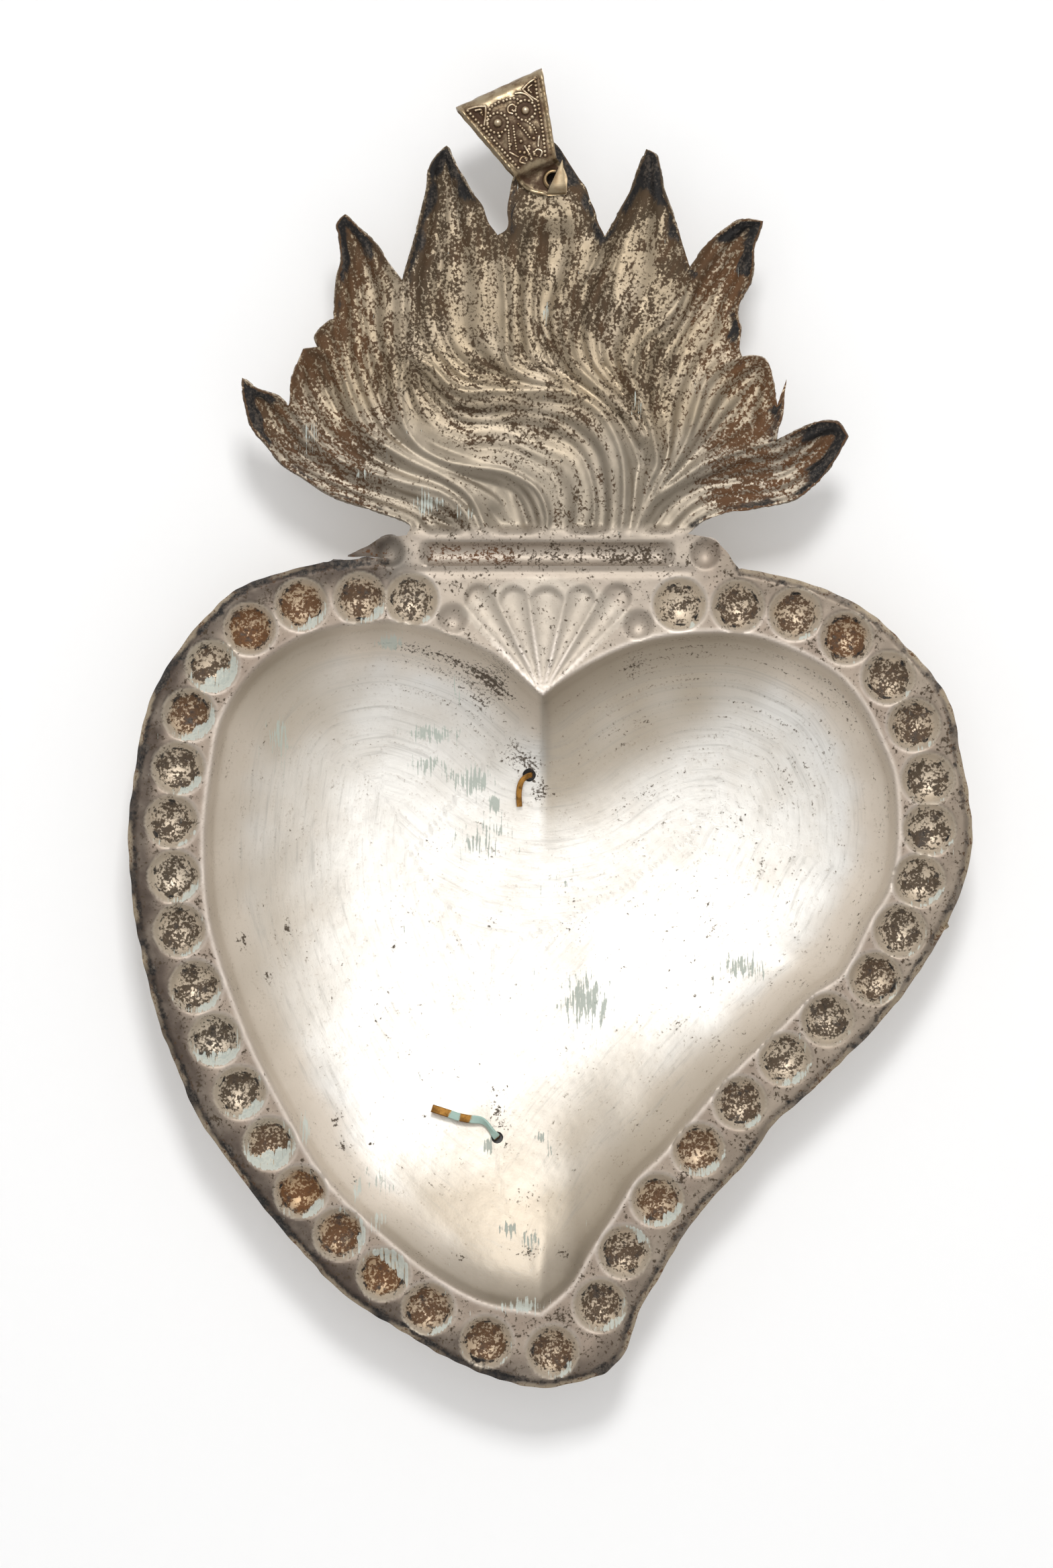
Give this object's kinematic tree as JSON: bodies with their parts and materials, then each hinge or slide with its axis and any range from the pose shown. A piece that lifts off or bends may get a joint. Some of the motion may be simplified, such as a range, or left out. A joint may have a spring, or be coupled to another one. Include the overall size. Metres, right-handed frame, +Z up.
{
  "type": "milagro charm",
  "caption": "Flaming votive heart of repousse silver sheet with a beaded border, hung on a tapered filigree bail that swings on an eyelet through the middle flame.",
  "frame": {"origin": "inside the top of the bail's fold, on the middle plane of the silver sheet, where a nail, hook or ribbon bears", "axes": "+X right and +Z up, seen from the hollow back of the heart as in the picture; +Y from the back to the raised front"},
  "size_m": [0.126, 0.018, 0.1965],
  "materials": {
    "heart_silver": "satin silver sheet, tarnished brown in the hollows and nearly black along the edges",
    "bail_silver": "warm grey tarnished silver",
    "wire_silver": "beaded silver wire with dark recesses",
    "tab_brass": "dull brass strip with some verdigris",
    "plaque_brass": "gilt brass, bare"
  },
  "bodies": {
    "bail": {"bail_strip": "bail_silver", "bail_left_edge_wire": "wire_silver", "bail_right_edge_wire": "wire_silver", "bail_left_scroll": "wire_silver", "bail_right_scroll": "wire_silver", "bail_left_corner_frame": "wire_silver", "bail_right_corner_frame": "wire_silver", "bail_stems": "wire_silver", "bail_grains": "wire_silver"},
    "heart": {"heart_plate": "heart_silver", "hanging_eyelet": "bail_silver", "upper_tab": "tab_brass", "lower_tab": "tab_brass", "front_plaque": "plaque_brass"}
  },
  "joints": [
    {"name": "heart_swing", "type": "hinge", "parent": "bail", "child": "heart", "pos_m": [0.00792, 0, -0.0132], "axis": [0, 1, 0], "range_deg": [-75, 20]}
  ]
}
